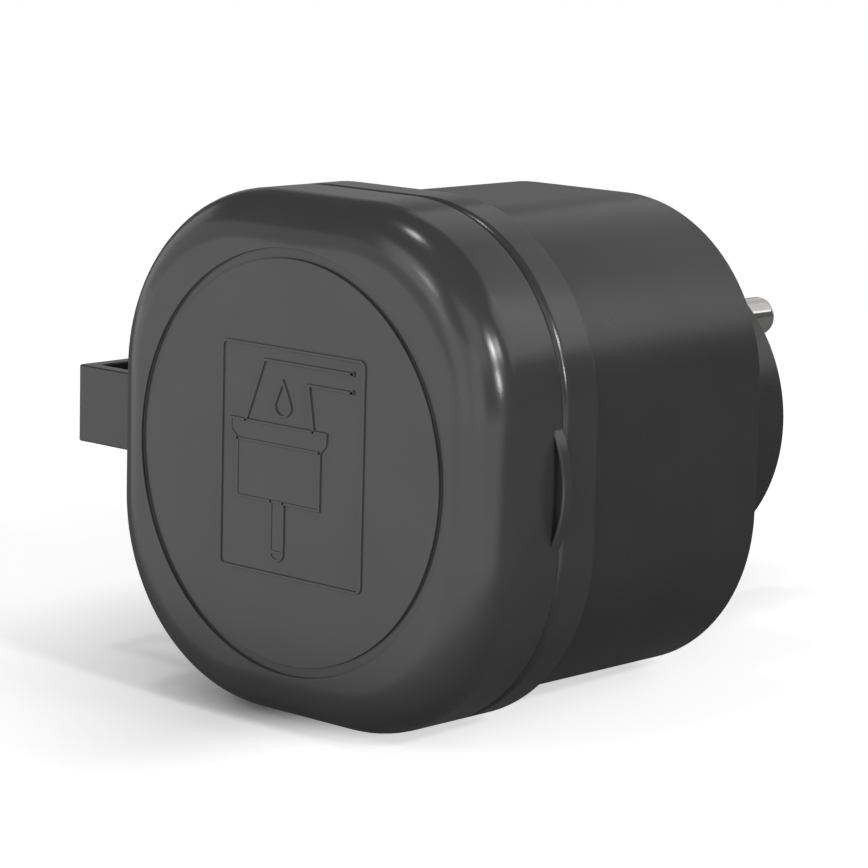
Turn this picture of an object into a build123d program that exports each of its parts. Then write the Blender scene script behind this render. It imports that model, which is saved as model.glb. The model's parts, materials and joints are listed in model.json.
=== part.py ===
"""Outdoor smart plug for the two-pin earthed 16 A socket (CEE 7/7 plug, CEE 7/3 outlet).

Frame: millimetres, origin at the centre of the plug's contact face, +Y along the plug pins
into the wall outlet, +Z up, +X towards the lid's pull lip.
Depths are heights ahead of the contact face: level(h) is the plane at Y = -h, facing the lid.
"""

import os

from build123d import *

# ---- Driving dimensions ----
LID_WIDTH = 59.1
LID_CORNER = 22.35
LID_FILLET = 5.4
BODY_WIDTH = 55.7
BODY_CORNER = 20.65
NOSE_RADIUS = 18.6
PIN_RADIUS = 2.4
PIN_LENGTH = 19.0
PIN_PITCH = 19.0

# Heights of the main faces ahead of the contact face
LID_FRONT = 65.1
LID_REAR = 53.2
COLLAR_FRONT = 53.0
COLLAR_REAR = 47.4
BODY_REAR = 17.0

WALL = 2.0
AIR = 0.1
FACE_GAP = 0.05

# Socket side
RECESS_RADIUS = 19.4
RECESS_DEPTH = 17.5
TOWER_RADIUS = 22.5
TOWER_BORE = 21.0
SOCKET_FRONT = 60.6
RECESS_FLOOR = SOCKET_FRONT - RECESS_DEPTH
FLOOR_WALL = 2.0
SOCKET_HOLE = 2.7
PIN_Z = PIN_PITCH / 2

# Collar and front housing
COLLAR_OPENING = 52.4
COLLAR_OPENING_CORNER = 17.9
LIP_OPENING = 49.2
LIP_OPENING_CORNER = 13.5
LIP_FRONT = 49.0
FLANGE_FRONT = 52.3
FLANGE_REAR = LIP_FRONT + FACE_GAP
BODY_RIM = COLLAR_REAR - FACE_GAP

# Housing screws
SCREW_XY = 18.3
BOSS_RADIUS = 2.8
SCREW_RADIUS = 1.25
SCREW_BORE = 1.35
SCREW_LENGTH = 14.0
HEAD_RADIUS = 2.5
HEAD_HEIGHT = 1.7

# Circuit board
BOARD_REAR = 20.0
BOARD_THICKNESS = 1.6
BOARD_FRONT = BOARD_REAR + BOARD_THICKNESS
BOARD_WIDTH = 51.0
BOARD_CORNER = 18.3
FLOOR_TOP = BODY_REAR + WALL
PART_SEAT = BOARD_FRONT + AIR

# Hinge strap, folded at two creases along the lines (STRAP_X, -height)
STRAP_X = -45.45
STRAP_WIDTH = 9.3
STRAP_WALL = 1.85
STRAP_FRONT = 55.6
STRAP_REAR = COLLAR_REAR
CREASE_GAP = 0.2
LEG_ROOT = -28.5

# Pull lip
LIP_BULGE = 1.65
LIP_HALF_LENGTH = 6.6
LIP_THICKNESS = 1.5

# Button on the side wall
BUTTON_H = 32.5
BUTTON_RADIUS = 5.0
BUTTON_FLANGE = 6.2
BUTTON_PROUD = 0.8
SWITCH_RADIUS = 1.5
SIDE_BOARD_X = -22.3
LIGHT_H = 42.2
LIGHT_RADIUS = 1.2

# Shutter behind the recess floor
SHUTTER_FRONT = RECESS_FLOOR - FLOOR_WALL - 0.3
SHUTTER_THICKNESS = 2.5
SHUTTER_REAR = SHUTTER_FRONT - SHUTTER_THICKNESS
SHUTTER_POST = 1.9
CARRIER_FRONT = SHUTTER_REAR - 1.7
CARRIER_REAR = 24.0
CONTACT_RADIUS = 3.2
CONTACT_POCKET = 3.5

SIDE_WALL_X = BODY_WIDTH / 2
LID_HALF = LID_WIDTH / 2


def level(height):
    """Plane facing the lid, this far ahead of the contact face. Local X is X and local Y is Z."""
    return Plane.XZ.offset(height)


def save(piece, label):
    """Label a finished piece and write it as one STEP file."""
    piece.part.label = label
    export_step(piece.part, f"parts/{label}.step")


os.makedirs("parts", exist_ok=True)


# ---- Lid: shell with the embossed symbol, the ring groove, the pull lip and the strap's front leg ----
GROOVE_OUTER = 23.84
GROOVE_INNER = 22.69
GROOVE_DEPTH = 0.4
SYMBOL_HEIGHT = 0.2
SYMBOL_ROOT = 0.3
LINE_WIDTH = 0.34
CARD_LEFT = -10.45
CARD_RIGHT = 11.5
CARD_HALF_HEIGHT = 12.7
CARD_CORNER = 0.8

# Plug symbol: cable, grip, collar, body and one pin, seen from the side
CABLE_TOP = 11.2
CABLE_BOTTOM = 9.15
CABLE_END = 9.75
GRIP_LEFT = -3.8
GRIP_RIGHT = 3.1
GRIP_FOOT_LEFT = -6.6
GRIP_FOOT_RIGHT = 3.95
RIM_LEFT = -8.95
RIM_RIGHT = 5.9
RIM_TOP = 4.1
RIM_BEND = 2.85
BLOCK_LEFT = -7.85
BLOCK_RIGHT = 5.0
BLOCK_TOP = 1.9
BLOCK_BOTTOM = -4.5
PRONG_LEFT = -2.4
PRONG_RIGHT = -0.5
PRONG_END = -10.15
PRONG_HALF = (PRONG_RIGHT - PRONG_LEFT) / 2
SYMBOL_STROKES = [
    [(CABLE_END, CABLE_TOP), (GRIP_LEFT, CABLE_TOP), (GRIP_FOOT_LEFT, RIM_TOP)],
    [(CABLE_END, CABLE_BOTTOM), (GRIP_RIGHT, CABLE_BOTTOM), (GRIP_FOOT_RIGHT, RIM_TOP)],
    [(BLOCK_LEFT, BLOCK_TOP), (RIM_LEFT, RIM_BEND), (RIM_LEFT, RIM_TOP), (RIM_RIGHT, RIM_TOP)],
    [(RIM_RIGHT, RIM_TOP), (RIM_RIGHT, RIM_BEND), (BLOCK_RIGHT, BLOCK_TOP), (BLOCK_LEFT, BLOCK_TOP)],
    [(BLOCK_LEFT, BLOCK_TOP), (BLOCK_LEFT, BLOCK_BOTTOM), (BLOCK_RIGHT, BLOCK_BOTTOM)],
    [(BLOCK_RIGHT, BLOCK_BOTTOM), (BLOCK_RIGHT, BLOCK_TOP)],
    [(PRONG_LEFT, BLOCK_BOTTOM), (PRONG_LEFT, PRONG_END), (PRONG_RIGHT, PRONG_END)],
    [(PRONG_RIGHT, PRONG_END), (PRONG_RIGHT, BLOCK_BOTTOM)],
]

# Water drop inside the grip
DROP_X = -0.9
DROP_Z = 6.4
DROP_RADIUS = 1.25
DROP_TIP = 2.6
DROP_TIP_SPREAD = 1.6
DROP_LEAN = 0.6

LID_REAR_FILLET = 0.4
LIP_OVERLAP = 1.0

with BuildPart() as lid_shell:
    with BuildSketch(level(LID_REAR)):
        RectangleRounded(LID_WIDTH, LID_WIDTH, LID_CORNER)
    extrude(amount=LID_FRONT - LID_REAR)
    fillet(lid_shell.edges().group_by(Axis.Y)[0], LID_FILLET)
    rear_face = lid_shell.faces().sort_by(Axis.Y)[-1]
    offset(amount=-WALL, openings=rear_face, kind=Kind.INTERSECTION)
    fillet(lid_shell.faces().sort_by(Axis.Y)[-1].outer_wire().edges(), LID_REAR_FILLET)
    with BuildSketch(level(LID_FRONT)):
        Circle(GROOVE_OUTER)
        Circle(GROOVE_INNER, mode=Mode.SUBTRACT)
    extrude(amount=-GROOVE_DEPTH, mode=Mode.SUBTRACT)

    # Embossed outlines: card frame, plug symbol and water drop
    card_width = CARD_RIGHT - CARD_LEFT
    card_height = 2 * CARD_HALF_HEIGHT
    with BuildSketch(level(LID_FRONT - SYMBOL_ROOT)):
        with Locations(((CARD_LEFT + CARD_RIGHT) / 2, 0)):
            RectangleRounded(card_width + LINE_WIDTH, card_height + LINE_WIDTH, CARD_CORNER)
            RectangleRounded(
                card_width - LINE_WIDTH,
                card_height - LINE_WIDTH,
                CARD_CORNER - LINE_WIDTH,
                mode=Mode.SUBTRACT,
            )
    extrude(amount=SYMBOL_ROOT + SYMBOL_HEIGHT)
    for stroke in SYMBOL_STROKES:
        with BuildSketch(level(LID_FRONT - SYMBOL_ROOT)):
            with BuildLine():
                Polyline(*stroke)
            trace(line_width=LINE_WIDTH)
        extrude(amount=SYMBOL_ROOT + SYMBOL_HEIGHT)
    with BuildSketch(level(LID_FRONT - SYMBOL_ROOT)):
        with Locations(((PRONG_LEFT + PRONG_RIGHT) / 2, PRONG_END)):
            Circle(PRONG_HALF + LINE_WIDTH / 2)
            Circle(PRONG_HALF - LINE_WIDTH / 2, mode=Mode.SUBTRACT)
        with Locations(((PRONG_LEFT + PRONG_RIGHT) / 2, PRONG_END)):
            Rectangle(4 * PRONG_HALF, 4 * PRONG_HALF, align=(Align.CENTER, Align.MIN), mode=Mode.SUBTRACT)
    extrude(amount=SYMBOL_ROOT + SYMBOL_HEIGHT)
    with BuildSketch(level(LID_FRONT - SYMBOL_ROOT)):
        for size, mode in ((LINE_WIDTH / 2, Mode.ADD), (-LINE_WIDTH / 2, Mode.SUBTRACT)):
            with BuildLine():
                rim = DROP_RADIUS + size
                tip = DROP_TIP + DROP_TIP_SPREAD * size
                bowl = ThreePointArc((DROP_X - rim, DROP_Z), (DROP_X, DROP_Z - rim), (DROP_X + rim, DROP_Z))
                flank = Spline(bowl @ 1, (DROP_X, DROP_Z + tip), tangents=[(0, 1), (-DROP_LEAN, 1)])
                Spline(flank @ 1, bowl @ 0, tangents=[(-DROP_LEAN, -1), (0, -1)])
            make_face(mode=mode)
    extrude(amount=SYMBOL_ROOT + SYMBOL_HEIGHT)

    # Pull lip: a crescent at the rear edge
    lip_radius = (LIP_HALF_LENGTH**2 + LIP_BULGE**2) / (2 * LIP_BULGE)
    with BuildSketch(level(LID_REAR)):
        with Locations((LID_HALF + LIP_BULGE - lip_radius, 0)):
            Circle(lip_radius)
        with Locations((LID_HALF - LIP_OVERLAP, 0)):
            Rectangle(LID_WIDTH, LID_WIDTH, align=(Align.MAX, Align.CENTER), mode=Mode.SUBTRACT)
    extrude(amount=LIP_THICKNESS)

    # Strap front leg, mitred at the crease
    with BuildSketch(Plane.XY):
        Polygon(
            (LEG_ROOT, -STRAP_FRONT),
            (STRAP_X + CREASE_GAP, -STRAP_FRONT),
            (STRAP_X + STRAP_WALL + CREASE_GAP, STRAP_WALL - STRAP_FRONT),
            (LEG_ROOT, STRAP_WALL - STRAP_FRONT),
            align=None,
        )
    extrude(amount=STRAP_WIDTH / 2, both=True)
save(lid_shell, "lid_shell")


# ---- Hinge strap web: the outer wall of the strap, between the two creases ----
with BuildPart() as strap_web:
    with BuildSketch(Plane.XY):
        Polygon(
            (STRAP_X, CREASE_GAP - STRAP_FRONT),
            (STRAP_X + STRAP_WALL, STRAP_WALL - STRAP_FRONT + CREASE_GAP),
            (STRAP_X + STRAP_WALL, -STRAP_REAR - STRAP_WALL - CREASE_GAP),
            (STRAP_X, -STRAP_REAR - CREASE_GAP),
            align=None,
        )
    extrude(amount=STRAP_WIDTH / 2, both=True)
save(strap_web, "strap_web")


# ---- Lid liner: stiff inner panel with the skirt that slides over the socket tower ----
LINER_FRONT = LID_FRONT - WALL - AIR
LINER_THICKNESS = 1.6
LINER_REAR = LINER_FRONT - LINER_THICKNESS
LINER_WIDTH = 49.6
LINER_CORNER = 17.6
SKIRT_INNER = 23.3
SKIRT_OUTER = 24.8
SKIRT_END = 57.0
RIB_THICKNESS = 1.0
RIB_HEIGHT = 2.0
SEAL_INNER = 20.6
SEAL_OUTER = 22.3
SEAL_POCKET = 0.8
SEAL_REAR = SOCKET_FRONT + 0.25
SEAL_FILLET = 0.4
RIB_COUNT = 8
RIB_OUTER = 26.0
RIB_INNER = SKIRT_OUTER - 0.2

with BuildPart() as lid_liner:
    with BuildSketch(level(LINER_REAR)):
        RectangleRounded(LINER_WIDTH, LINER_WIDTH, LINER_CORNER)
    extrude(amount=LINER_THICKNESS)
    with BuildSketch(level(LINER_REAR)):
        Circle(SEAL_OUTER + AIR)
        Circle(SEAL_INNER - AIR, mode=Mode.SUBTRACT)
    extrude(amount=SEAL_POCKET, mode=Mode.SUBTRACT)
save(lid_liner, "lid_liner")

# Skirt ring behind the liner, with stiffening ribs towards the rim
with BuildPart() as lid_skirt:
    with BuildSketch(level(LINER_REAR)):
        Circle(SKIRT_OUTER)
        Circle(SKIRT_INNER, mode=Mode.SUBTRACT)
    extrude(amount=-(LINER_REAR - SKIRT_END))
    with BuildSketch(level(LINER_REAR)):
        with PolarLocations((RIB_INNER + RIB_OUTER) / 2, RIB_COUNT, start_angle=180 / RIB_COUNT):
            Rectangle(RIB_OUTER - RIB_INNER, RIB_THICKNESS)
    extrude(amount=-RIB_HEIGHT)
save(lid_skirt, "lid_skirt")

with BuildPart() as lid_seal:
    with BuildSketch(level(SEAL_REAR)):
        Circle(SEAL_OUTER)
        Circle(SEAL_INNER, mode=Mode.SUBTRACT)
    extrude(amount=LINER_REAR + SEAL_POCKET - AIR - SEAL_REAR)
    fillet(lid_seal.edges().group_by(Axis.Y)[-1], SEAL_FILLET)
save(lid_seal, "lid_seal")


# ---- Collar: soft ring round the front rim, with the strap's rear leg ----
COLLAR_FRONT_FILLET = 1.2
COLLAR_REAR_FILLET = 0.25

with BuildPart() as collar:
    with BuildSketch(level(COLLAR_REAR)):
        RectangleRounded(LID_WIDTH, LID_WIDTH, LID_CORNER)
    extrude(amount=COLLAR_FRONT - COLLAR_REAR)
    fillet(collar.edges().group_by(Axis.Y)[0], COLLAR_FRONT_FILLET)
    fillet(collar.edges().group_by(Axis.Y)[-1], COLLAR_REAR_FILLET)
    with BuildSketch(level(LIP_FRONT)):
        RectangleRounded(COLLAR_OPENING, COLLAR_OPENING, COLLAR_OPENING_CORNER)
    extrude(amount=COLLAR_FRONT - LIP_FRONT, mode=Mode.SUBTRACT)
    with BuildSketch(level(COLLAR_REAR)):
        RectangleRounded(LIP_OPENING, LIP_OPENING, LIP_OPENING_CORNER)
    extrude(amount=LIP_FRONT - COLLAR_REAR, mode=Mode.SUBTRACT)
    with BuildSketch(Plane.XY):
        Polygon(
            (LEG_ROOT, -STRAP_REAR),
            (STRAP_X + CREASE_GAP, -STRAP_REAR),
            (STRAP_X + STRAP_WALL + CREASE_GAP, -STRAP_REAR - STRAP_WALL),
            (LEG_ROOT, -STRAP_REAR - STRAP_WALL),
            align=None,
        )
    extrude(amount=STRAP_WIDTH / 2, both=True)
save(collar, "collar")


# ---- Front housing: flange under the collar, with the tower that holds the socket insert ----
INSERT_RIM = 59.4
TOWER_TAIL = 45.0
FLANGE_WIDTH = 51.9
FLANGE_CORNER = COLLAR_OPENING_CORNER - (COLLAR_OPENING - FLANGE_WIDTH) / 2
FLANGE_FILLET = 0.5
SCREW_HOLE = SCREW_RADIUS + 0.25
HEAD_POCKET = HEAD_RADIUS + 0.15

with BuildPart() as front_housing:
    with BuildSketch(level(FLANGE_REAR)):
        RectangleRounded(FLANGE_WIDTH, FLANGE_WIDTH, FLANGE_CORNER)
    extrude(amount=FLANGE_FRONT - FLANGE_REAR)
    fillet(front_housing.edges().group_by(Axis.Y)[0], FLANGE_FILLET)
    with BuildSketch(level(TOWER_TAIL)):
        Circle(TOWER_RADIUS)
    extrude(amount=INSERT_RIM - TOWER_TAIL)
    with BuildSketch(level(TOWER_TAIL)):
        Circle(TOWER_BORE)
    extrude(amount=INSERT_RIM - TOWER_TAIL, mode=Mode.SUBTRACT)
    with Locations(level(FLANGE_FRONT)):
        with GridLocations(2 * SCREW_XY, 2 * SCREW_XY, 2, 2):
            CounterBoreHole(SCREW_HOLE, HEAD_POCKET, HEAD_HEIGHT + AIR)
save(front_housing, "front_housing")


# ---- Socket insert: the recess cup with two pin holes, guide ribs and slots for the earth clips ----
CUP_RADIUS = TOWER_BORE - AIR
GUIDE_WIDTH = 4.6
GUIDE_HEIGHT = 1.1
CLIP_WIDTH = 6.0
CLIP_SLOT = CLIP_WIDTH + 0.4
CLIP_SLOT_DEPTH = 2 * (CUP_RADIUS - RECESS_RADIUS) + 1.8
CLIP_SLOT_TOP = INSERT_RIM - 1.0
INSERT_FILLET = 0.3
CUP_BASE = RECESS_FLOOR - FLOOR_WALL

with BuildPart() as socket_insert:
    with BuildSketch(level(CUP_BASE)):
        Circle(CUP_RADIUS)
    extrude(amount=SOCKET_FRONT - CUP_BASE)
    with BuildSketch(level(INSERT_RIM + FACE_GAP)):
        Circle(TOWER_RADIUS)
    extrude(amount=SOCKET_FRONT - INSERT_RIM - FACE_GAP)
    fillet(socket_insert.faces().sort_by(Axis.Y)[0].edges(), INSERT_FILLET)
    with BuildSketch(level(RECESS_FLOOR)):
        Circle(RECESS_RADIUS)
        for end in (-1, 1):
            with Locations((0, end * RECESS_RADIUS)):
                Rectangle(GUIDE_WIDTH, 2 * GUIDE_HEIGHT, mode=Mode.SUBTRACT)
    extrude(amount=RECESS_DEPTH, mode=Mode.SUBTRACT)
    with BuildSketch(level(CUP_BASE)):
        Circle(RECESS_RADIUS)
    extrude(amount=FLOOR_WALL, mode=Mode.SUBTRACT)
    with BuildSketch(level(CUP_BASE)):
        with Locations((CUP_RADIUS, 0), (-CUP_RADIUS, 0)):
            Rectangle(CLIP_SLOT_DEPTH, CLIP_SLOT)
    extrude(amount=CLIP_SLOT_TOP - CUP_BASE, mode=Mode.SUBTRACT)
save(socket_insert, "socket_insert")

# Floor of the recess: a disc with the two pin holes, held behind the guides
with BuildPart() as socket_floor:
    with BuildSketch(level(CUP_BASE)):
        Circle(RECESS_RADIUS - FACE_GAP)
        with Locations((0, PIN_Z), (0, -PIN_Z)):
            Circle(SOCKET_HOLE, mode=Mode.SUBTRACT)
        with Locations((CUP_RADIUS, 0), (-CUP_RADIUS, 0)):
            Rectangle(CLIP_SLOT_DEPTH, CLIP_SLOT, mode=Mode.SUBTRACT)
    extrude(amount=FLOOR_WALL - FACE_GAP)
save(socket_floor, "socket_floor")


# ---- Rotary shutter behind the recess floor, its spring, and the contact carrier ----
VANE_WIDTH = 6.8
SHUTTER_REACH = 13.0
HUB_RADIUS = 3.6
RAMP_DEPTH = 1.7
RAMP_HALF_LENGTH = 3.0
SPRING_WIRE = 0.35
SPRING_RADIUS = 2.75
SPRING_TURNS = 3
SPRING_PITCH = SPRING_WIRE + 0.05

with BuildPart() as shutter:
    with BuildSketch(level(SHUTTER_REAR)):
        SlotOverall(2 * SHUTTER_REACH, VANE_WIDTH, rotation=90)
        Circle(HUB_RADIUS)
    extrude(amount=SHUTTER_THICKNESS)
    with BuildSketch(level(SHUTTER_REAR)):
        Circle(SHUTTER_POST + 0.05)
    extrude(amount=SHUTTER_THICKNESS, mode=Mode.SUBTRACT)
    # Ramps that the pins push against: each vane's face falls away to one side
    for end in (-1, 1):
        with BuildSketch(Plane.XY.offset(end * PIN_Z)):
            Polygon(
                (end * VANE_WIDTH / 2, -SHUTTER_FRONT),
                (end * VANE_WIDTH / 2, RAMP_DEPTH - SHUTTER_FRONT),
                (0, -SHUTTER_FRONT),
                align=None,
            )
        extrude(amount=RAMP_HALF_LENGTH, both=True, mode=Mode.SUBTRACT)
save(shutter, "shutter")

with BuildPart() as shutter_spring:
    with BuildLine():
        coil = Helix(
            pitch=SPRING_PITCH,
            height=SPRING_TURNS * SPRING_PITCH,
            radius=SPRING_RADIUS,
            center=(0, SPRING_WIRE / 2 + AIR - SHUTTER_REAR, 0),
            direction=(0, 1, 0),
        )
    with BuildSketch(Plane(origin=coil @ 0, z_dir=coil % 0)):
        Circle(SPRING_WIRE / 2)
    sweep(is_frenet=True)
save(shutter_spring, "shutter_spring")

CARRIER_WIDTH = 15.2
CARRIER_HEIGHT = 30.0
CARRIER_CORNER = 3.0
FOOT_RADIUS = 1.4
FOOT_INSET = 2.0

with BuildPart() as contact_carrier:
    with BuildSketch(level(CARRIER_REAR)):
        RectangleRounded(CARRIER_WIDTH, CARRIER_HEIGHT, CARRIER_CORNER)
    extrude(amount=CARRIER_FRONT - CARRIER_REAR)
    with BuildSketch(level(CARRIER_REAR)):
        with Locations((0, PIN_Z), (0, -PIN_Z)):
            Circle(CONTACT_POCKET)
    extrude(amount=CARRIER_FRONT - CARRIER_REAR, mode=Mode.SUBTRACT)
    with BuildSketch(level(CARRIER_FRONT)):
        Circle(SHUTTER_POST)
    extrude(amount=SHUTTER_FRONT - CARRIER_FRONT - AIR)
    # Feet on the circuit board
    with BuildSketch(level(CARRIER_REAR)):
        with GridLocations(CARRIER_WIDTH - 2 * FOOT_INSET, CARRIER_HEIGHT - 2 * FOOT_INSET, 2, 2):
            Circle(FOOT_RADIUS)
    extrude(amount=-(CARRIER_REAR - PART_SEAT))
save(contact_carrier, "contact_carrier")


# ---- Live and neutral contacts: split spring tubes with a solder tail ----
CONTACT_BORE = 2.35
CONTACT_FRONT = CARRIER_FRONT - 0.4
CONTACT_REAR = 25.5
CONTACT_FLOOR = CONTACT_REAR + 1.5
SLOT_FLOOR = CONTACT_REAR + 4.0
SLOT_WIDTH = 0.7
TAIL_RADIUS = 0.8


def socket_contact(z):
    """Spring tube that grips a plug pin at this height."""
    with BuildPart() as contact:
        with BuildSketch(level(CONTACT_REAR)):
            with Locations((0, z)):
                Circle(CONTACT_RADIUS)
        extrude(amount=CONTACT_FRONT - CONTACT_REAR)
        with BuildSketch(level(CONTACT_FLOOR)):
            with Locations((0, z)):
                Circle(CONTACT_BORE)
        extrude(amount=CONTACT_FRONT - CONTACT_FLOOR, mode=Mode.SUBTRACT)
        with BuildSketch(level(SLOT_FLOOR)):
            with Locations((0, z)):
                Rectangle(SLOT_WIDTH, 3 * CONTACT_RADIUS)
                Rectangle(3 * CONTACT_RADIUS, SLOT_WIDTH)
        extrude(amount=CONTACT_FRONT - SLOT_FLOOR, mode=Mode.SUBTRACT)
        with BuildSketch(level(CONTACT_REAR)):
            with Locations((0, z)):
                Circle(TAIL_RADIUS)
        extrude(amount=-(CONTACT_REAR - PART_SEAT))
    return contact


live_contact = socket_contact(PIN_Z)
save(live_contact, "live_contact")
neutral_contact = socket_contact(-PIN_Z)
save(neutral_contact, "neutral_contact")


# ---- Earth contacts: one bent strip per side, from the recess to the side of the plug nose ----
STRIP_WALL = 0.8
STRIP_X = 19.9
STRIP_TURN = 19.55
NOSE_STRIP_X = 15.6
CLIP_LOBE_X = 17.8
NOSE_LOBE_X = 17.8


def earth_contact(side):
    """Bent strip on the +X (1) or -X (-1) side."""
    route = [
        (STRIP_X, 58.2),
        (STRIP_X, 56.6),
        (CLIP_LOBE_X, 52.4),
        (STRIP_X, 46.6),
        (STRIP_X, STRIP_TURN),
        (NOSE_STRIP_X, STRIP_TURN),
        (NOSE_STRIP_X, 15.4),
        (NOSE_LOBE_X, 13.2),
        (NOSE_LOBE_X, 8.0),
        (NOSE_STRIP_X, 5.8),
    ]
    with BuildPart() as strip:
        with BuildSketch(Plane.XY):
            with BuildLine():
                Polyline(*[(side * x, -height) for x, height in route])
            trace(line_width=STRIP_WALL)
        extrude(amount=CLIP_WIDTH / 2, both=True)
    return strip


lower_earth_contact = earth_contact(1)
save(lower_earth_contact, "lower_earth_contact")
upper_earth_contact = earth_contact(-1)
save(upper_earth_contact, "upper_earth_contact")


# ---- Plug nose: the round tube that enters the outlet, clamped in the rear wall by its flange ----
NOSE_BORE = 16.5
NOSE_FLANGE = 20.5
NOSE_FLANGE_LOW = 18.05
GUIDE_GROOVE_WIDTH = 5.4
GUIDE_GROOVE_DEPTH = 1.6
GUIDE_WALL_WIDTH = GUIDE_GROOVE_WIDTH + 3.0
GUIDE_WALL_DEPTH = GUIDE_GROOVE_DEPTH + 1.4
NOSE_FILLET = 0.3
WINDOW_LOW = 5.6
WINDOW_HIGH = 15.6

with BuildPart() as plug_nose:
    with BuildSketch(level(0)):
        Circle(NOSE_RADIUS)
    extrude(amount=FLOOR_TOP)
    with BuildSketch(level(NOSE_FLANGE_LOW)):
        Circle(NOSE_FLANGE)
    extrude(amount=FLOOR_TOP - NOSE_FLANGE_LOW)
    # Guide grooves above and below
    with BuildSketch(level(0)):
        for end in (-1, 1):
            with Locations((0, end * NOSE_RADIUS)):
                Rectangle(GUIDE_GROOVE_WIDTH, 2 * GUIDE_GROOVE_DEPTH)
    extrude(amount=BODY_REAR - AIR, mode=Mode.SUBTRACT)
    fillet(plug_nose.faces().sort_by(Axis.Y)[-1].edges().filter_by(GeomType.CIRCLE), NOSE_FILLET)
    with BuildSketch(level(0)):
        Circle(NOSE_BORE)
        for end in (-1, 1):
            with Locations((0, end * NOSE_RADIUS)):
                Rectangle(GUIDE_WALL_WIDTH, 2 * GUIDE_WALL_DEPTH, mode=Mode.SUBTRACT)
    extrude(amount=FLOOR_TOP, mode=Mode.SUBTRACT)
    # Windows for the earth contacts
    with BuildSketch(Plane.YZ):
        with Locations((-(WINDOW_LOW + WINDOW_HIGH) / 2, 0)):
            Rectangle(WINDOW_HIGH - WINDOW_LOW, CLIP_SLOT)
    extrude(amount=NOSE_RADIUS + 1, both=True, mode=Mode.SUBTRACT)
save(plug_nose, "plug_nose")


# ---- Rear housing: the main body with its rear wall and screw bosses ----
GASKET_WIDTH = 53.8
GASKET_CORNER = 19.7
GASKET_WALL = 0.9
GASKET_DEPTH = 0.8
GASKET_PLAY = 0.05
BODY_REAR_FILLET = 0.2
BOSS_RIB_REACH = SCREW_XY * 2**0.5 + 2.2
BOSS_RIB = (3.4, 1.2)
BOSS_RIB_TOP = BODY_RIM - 4.0
SHOULDER_RADIUS = BOSS_RADIUS + 0.7
BODY_INSIDE = BODY_WIDTH - 2 * WALL

with BuildPart() as rear_housing:
    with BuildSketch(level(BODY_REAR)):
        RectangleRounded(BODY_WIDTH, BODY_WIDTH, BODY_CORNER)
    extrude(amount=BODY_RIM - BODY_REAR)
    fillet(rear_housing.edges().group_by(Axis.Y)[-1], BODY_REAR_FILLET)
    with BuildSketch(level(FLOOR_TOP)):
        RectangleRounded(BODY_INSIDE, BODY_INSIDE, BODY_CORNER - WALL)
    extrude(amount=BODY_RIM - FLOOR_TOP, mode=Mode.SUBTRACT)
    with BuildSketch(level(BODY_REAR)):
        Circle(NOSE_RADIUS + FACE_GAP)
    extrude(amount=WALL, mode=Mode.SUBTRACT)
    with BuildSketch(level(NOSE_FLANGE_LOW - FACE_GAP)):
        Circle(NOSE_FLANGE + FACE_GAP)
    extrude(amount=WALL, mode=Mode.SUBTRACT)
    # Screw bosses with a shoulder under the circuit board and a rib to the corner
    with BuildSketch(level(FLOOR_TOP)):
        with GridLocations(2 * SCREW_XY, 2 * SCREW_XY, 2, 2):
            Circle(BOSS_RADIUS)
        with PolarLocations(BOSS_RIB_REACH, 4, start_angle=45):
            Rectangle(*BOSS_RIB)
    extrude(amount=BOSS_RIB_TOP - FLOOR_TOP)
    with BuildSketch(level(FLOOR_TOP)):
        with GridLocations(2 * SCREW_XY, 2 * SCREW_XY, 2, 2):
            Circle(BOSS_RADIUS)
    extrude(amount=FLANGE_REAR - FACE_GAP - FLOOR_TOP)
    with BuildSketch(level(FLOOR_TOP)):
        with GridLocations(2 * SCREW_XY, 2 * SCREW_XY, 2, 2):
            Circle(SHOULDER_RADIUS)
    extrude(amount=BOARD_REAR - FACE_GAP - FLOOR_TOP)
    with BuildSketch(level(FLANGE_REAR)):
        with GridLocations(2 * SCREW_XY, 2 * SCREW_XY, 2, 2):
            Circle(SCREW_BORE)
    extrude(amount=-(SCREW_LENGTH + 1.0), mode=Mode.SUBTRACT)
    # Groove for the rim gasket
    with BuildSketch(level(BODY_RIM)):
        outer = GASKET_WIDTH + 2 * GASKET_PLAY
        RectangleRounded(outer, outer, GASKET_CORNER + GASKET_PLAY)
        inner = GASKET_WIDTH - 2 * GASKET_WALL - 2 * GASKET_PLAY
        RectangleRounded(inner, inner, GASKET_CORNER - GASKET_WALL - GASKET_PLAY, mode=Mode.SUBTRACT)
    extrude(amount=-(GASKET_DEPTH + FACE_GAP), mode=Mode.SUBTRACT)
    # Button and status light openings in the side wall
    with BuildSketch(Plane.YZ.offset(-SIDE_WALL_X - 1)):
        with Locations((-BUTTON_H, 0)):
            Circle(BUTTON_RADIUS + AIR)
        with Locations((-LIGHT_H, 0)):
            Circle(LIGHT_RADIUS + AIR)
    extrude(amount=WALL + 2, mode=Mode.SUBTRACT)
save(rear_housing, "rear_housing")

with BuildPart() as rim_gasket:
    with BuildSketch(level(BODY_RIM)):
        RectangleRounded(GASKET_WIDTH, GASKET_WIDTH, GASKET_CORNER)
        inner = GASKET_WIDTH - 2 * GASKET_WALL
        RectangleRounded(inner, inner, GASKET_CORNER - GASKET_WALL, mode=Mode.SUBTRACT)
    extrude(amount=-GASKET_DEPTH)
save(rim_gasket, "rim_gasket")


# ---- Housing screws: four pan heads with a hexagon recess, under the lid ----
HEX_RADIUS = 1.1
HEX_DEPTH = 1.1
HEAD_FILLET = 0.5
HEAD_TOP = FLANGE_FRONT - AIR

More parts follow.
